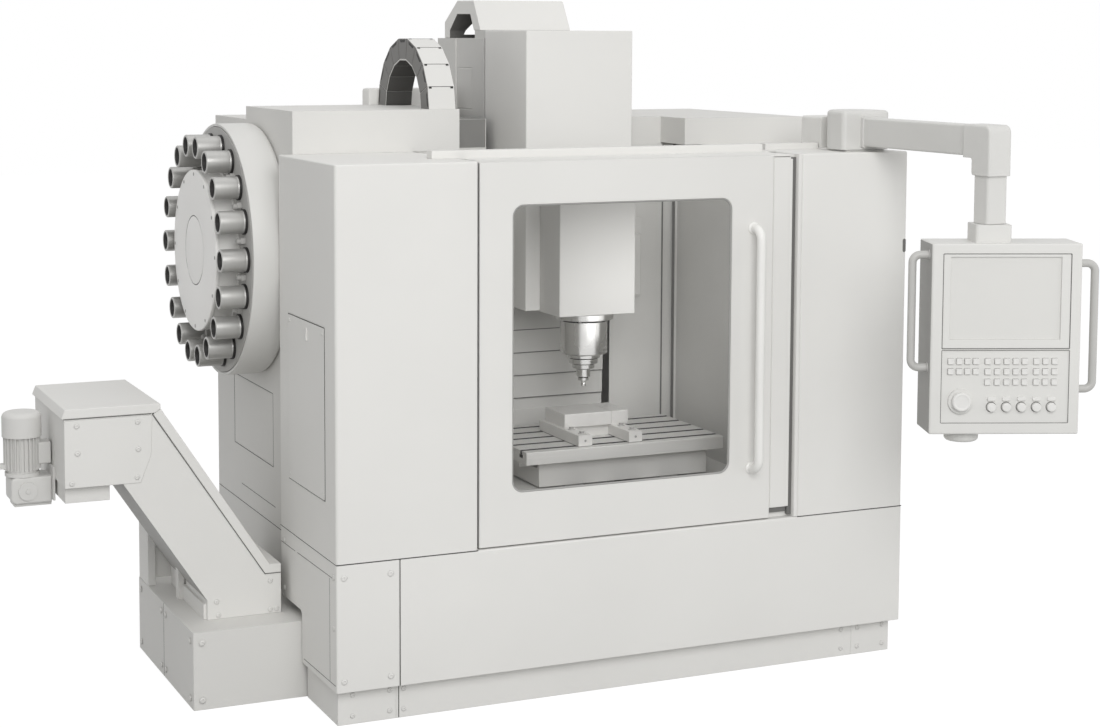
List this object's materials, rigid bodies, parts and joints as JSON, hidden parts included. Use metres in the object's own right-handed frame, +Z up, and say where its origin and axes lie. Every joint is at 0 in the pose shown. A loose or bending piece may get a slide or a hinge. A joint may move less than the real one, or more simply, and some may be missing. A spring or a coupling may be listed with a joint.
{
  "type": "cnc machining center",
  "caption": "Enclosed vertical machining center with a sliding door, T-slotted table, travelling head, side tool magazine, chip conveyor and swinging operator panel.",
  "frame": {"origin": "on the floor, under the middle of the machine's own footprint without the conveyor, tank and panel", "axes": "+X to the operator's right along the front, +Y from the front to the back, +Z up"},
  "size_m": [3.7681, 2.7797, 2.724],
  "materials": {
    "painted_sheet": "matte warm off-white paint on sheet steel",
    "chamber_sheet": "matte light grey sheet lining",
    "casting": "painted iron casting, matte",
    "table_iron": "ground grey iron",
    "machined_steel": "turned and ground steel, satin",
    "aluminium_billet": "milled light metal, matte",
    "motor_paint": "matte light grey paint",
    "window_glass": "clear safety pane",
    "screen_glass": "smooth light grey pane",
    "handle_metal": "satin light grey",
    "chain_plastic": "matte moulded links",
    "key_plastic": "matte moulded keys"
  },
  "bodies": {
    "machine_frame": {"bed_casting": "casting", "base_casing": "painted_sheet", "base_skirt": "painted_sheet", "left_cabinet": "painted_sheet", "side_service_panel": "painted_sheet", "right_cabinet": "painted_sheet", "front_frame": "painted_sheet", "chamber_liner": "chamber_sheet", "work_lamp": "screen_glass", "rear_housing": "painted_sheet", "column": "casting", "column_hood": "painted_sheet", "z_rails": "machined_steel", "y_rails": "machined_steel", "magazine_housing": "painted_sheet", "coolant_tank": "painted_sheet", "conveyor_trough": "painted_sheet", "conveyor_incline_lid": "painted_sheet", "conveyor_head_lid": "painted_sheet", "conveyor_belt": "machined_steel", "gear_motor": "motor_paint", "gearbox": "motor_paint", "arm_bracket": "painted_sheet", "y_motor": "motor_paint", "z_motor": "motor_paint"},
    "door": {"door_panel": "painted_sheet", "door_glass": "window_glass", "door_handle": "handle_metal"},
    "saddle": {"saddle": "casting", "x_motor": "motor_paint"},
    "table": {"table": "table_iron", "x_rails": "machined_steel", "workpiece": "aluminium_billet", "work_clamps": "machined_steel"},
    "x_screw": {"x_ball_screw": "machined_steel"},
    "y_screw": {"y_ball_screw": "machined_steel"},
    "z_screw": {"z_ball_screw": "machined_steel"},
    "head": {"head_casing": "painted_sheet", "head_casting": "casting", "spindle_sleeve": "machined_steel"},
    "spindle": {"spindle_shaft": "machined_steel", "tool_holder": "machined_steel"},
    "cover_slat_1": {"way_cover_1": "chamber_sheet"},
    "cover_slat_2": {"way_cover_2": "chamber_sheet"},
    "cover_slat_3": {"way_cover_3": "chamber_sheet"},
    "cover_slat_4": {"way_cover_4": "chamber_sheet"},
    "energy_chain": {"cable_chain": "chain_plastic"},
    "carousel": {"carousel": "machined_steel", "carousel_cover": "painted_sheet"},
    "belt_shaft": {"conveyor_shaft": "machined_steel"},
    "arm": {"pendant_arm": "painted_sheet"},
    "panel": {"panel_housing": "painted_sheet", "panel_screen": "screen_glass", "key_set": "key_plastic"},
    "button_1": {"push_button_1": "key_plastic"},
    "button_2": {"push_button_2": "key_plastic"},
    "button_3": {"push_button_3": "key_plastic"},
    "button_4": {"push_button_4": "key_plastic"},
    "button_5": {"push_button_5": "key_plastic"},
    "dial": {"jog_dial": "key_plastic"}
  },
  "joints": [
    {"name": "door_slide", "type": "slide", "parent": "machine_frame", "child": "door", "axis": [1, 0, 0], "range_m": [-0.55, 0]},
    {"name": "y_slide", "type": "slide", "parent": "machine_frame", "child": "saddle", "axis": [0, 1, 0], "range_m": [-0.25, 0.08]},
    {"name": "x_slide", "type": "slide", "parent": "saddle", "child": "table", "axis": [1, 0, 0], "range_m": [-0.25, 0.1]},
    {"name": "z_slide", "type": "slide", "parent": "machine_frame", "child": "head", "axis": [0, 0, 1], "range_m": [-0.08, 0.3]},
    {"name": "x_screw_turn", "type": "hinge", "parent": "saddle", "child": "x_screw", "pos_m": [-0.2175, -0.27, 0.8], "axis": [1, 0, 0], "range_deg": [-2000, 4600]},
    {"name": "y_screw_turn", "type": "hinge", "parent": "machine_frame", "child": "y_screw", "pos_m": [0.1475, -0.67, 0.66], "axis": [0, 1, 0], "range_deg": [-1600, 4600]},
    {"name": "z_screw_turn", "type": "hinge", "parent": "machine_frame", "child": "z_screw", "pos_m": [0.0595, 0.142, 1.56], "axis": [0, 0, 1], "range_deg": [-5600, 1600]},
    {"name": "spindle_turn", "type": "hinge", "parent": "head", "child": "spindle", "pos_m": [0.0595, -0.3, 1.25], "axis": [0, 0, 1], "continuous": true},
    {"name": "cover_slide_1", "type": "slide", "parent": "machine_frame", "child": "cover_slat_1", "axis": [0, 0, 1], "range_m": [-0.066, 0.242]},
    {"name": "cover_slide_2", "type": "slide", "parent": "machine_frame", "child": "cover_slat_2", "axis": [0, 0, 1], "range_m": [-0.05, 0.182]},
    {"name": "cover_slide_3", "type": "slide", "parent": "machine_frame", "child": "cover_slat_3", "axis": [0, 0, 1], "range_m": [-0.034, 0.122]},
    {"name": "cover_slide_4", "type": "slide", "parent": "machine_frame", "child": "cover_slat_4", "axis": [0, 0, 1], "range_m": [-0.018, 0.062]},
    {"name": "chain_lift", "type": "slide", "parent": "machine_frame", "child": "energy_chain", "axis": [0, 0, 1], "range_m": [-0.042, 0.152]},
    {"name": "carousel_turn", "type": "hinge", "parent": "machine_frame", "child": "carousel", "pos_m": [-1.3405, 0.306, 1.68], "axis": [1, 0, 0], "continuous": true},
    {"name": "belt_shaft_turn", "type": "hinge", "parent": "machine_frame", "child": "belt_shaft", "pos_m": [-1.85707, -0.0475, 1.02865], "axis": [0, 1, 0], "continuous": true},
    {"name": "arm_swing", "type": "hinge", "parent": "machine_frame", "child": "arm", "pos_m": [1.0945, -0.76, 2.107], "axis": [0, 0, 1], "range_deg": [-40, 80]},
    {"name": "panel_turn", "type": "hinge", "parent": "arm", "child": "panel", "pos_m": [1.0945, -1.648, 1.872], "axis": [0, 0, 1], "range_deg": [-60, 60]},
    {"name": "button_press_1", "type": "slide", "parent": "panel", "child": "button_1", "axis": [0.3746, 0.9272, 0], "range_m": [0, 0.005], "stiffness_N_per_m": 400, "springref_m": -0.001},
    {"name": "button_press_2", "type": "slide", "parent": "panel", "child": "button_2", "axis": [0.3746, 0.9272, 0], "range_m": [0, 0.005], "stiffness_N_per_m": 400, "springref_m": -0.001},
    {"name": "button_press_3", "type": "slide", "parent": "panel", "child": "button_3", "axis": [0.3746, 0.9272, 0], "range_m": [0, 0.005], "stiffness_N_per_m": 400, "springref_m": -0.001},
    {"name": "button_press_4", "type": "slide", "parent": "panel", "child": "button_4", "axis": [0.3746, 0.9272, 0], "range_m": [0, 0.005], "stiffness_N_per_m": 400, "springref_m": -0.001},
    {"name": "button_press_5", "type": "slide", "parent": "panel", "child": "button_5", "axis": [0.3746, 0.9272, 0], "range_m": [0, 0.005], "stiffness_N_per_m": 400, "springref_m": -0.001},
    {"name": "dial_turn", "type": "hinge", "parent": "panel", "child": "dial", "pos_m": [0.9411, -1.70466, 1.215], "axis": [0.3746, 0.9272, 0], "continuous": true}
  ],
  "couplings": [
    {"joint": "x_screw_turn", "follows": "x_slide", "rad_per_m": -314.16},
    {"joint": "y_screw_turn", "follows": "y_slide", "rad_per_m": -314.16},
    {"joint": "z_screw_turn", "follows": "z_slide", "rad_per_m": -314.16},
    {"joint": "cover_slide_1", "follows": "z_slide", "ratio": 0.8},
    {"joint": "cover_slide_2", "follows": "z_slide", "ratio": 0.6},
    {"joint": "cover_slide_3", "follows": "z_slide", "ratio": 0.4},
    {"joint": "cover_slide_4", "follows": "z_slide", "ratio": 0.2},
    {"joint": "chain_lift", "follows": "z_slide", "ratio": 0.5}
  ]
}
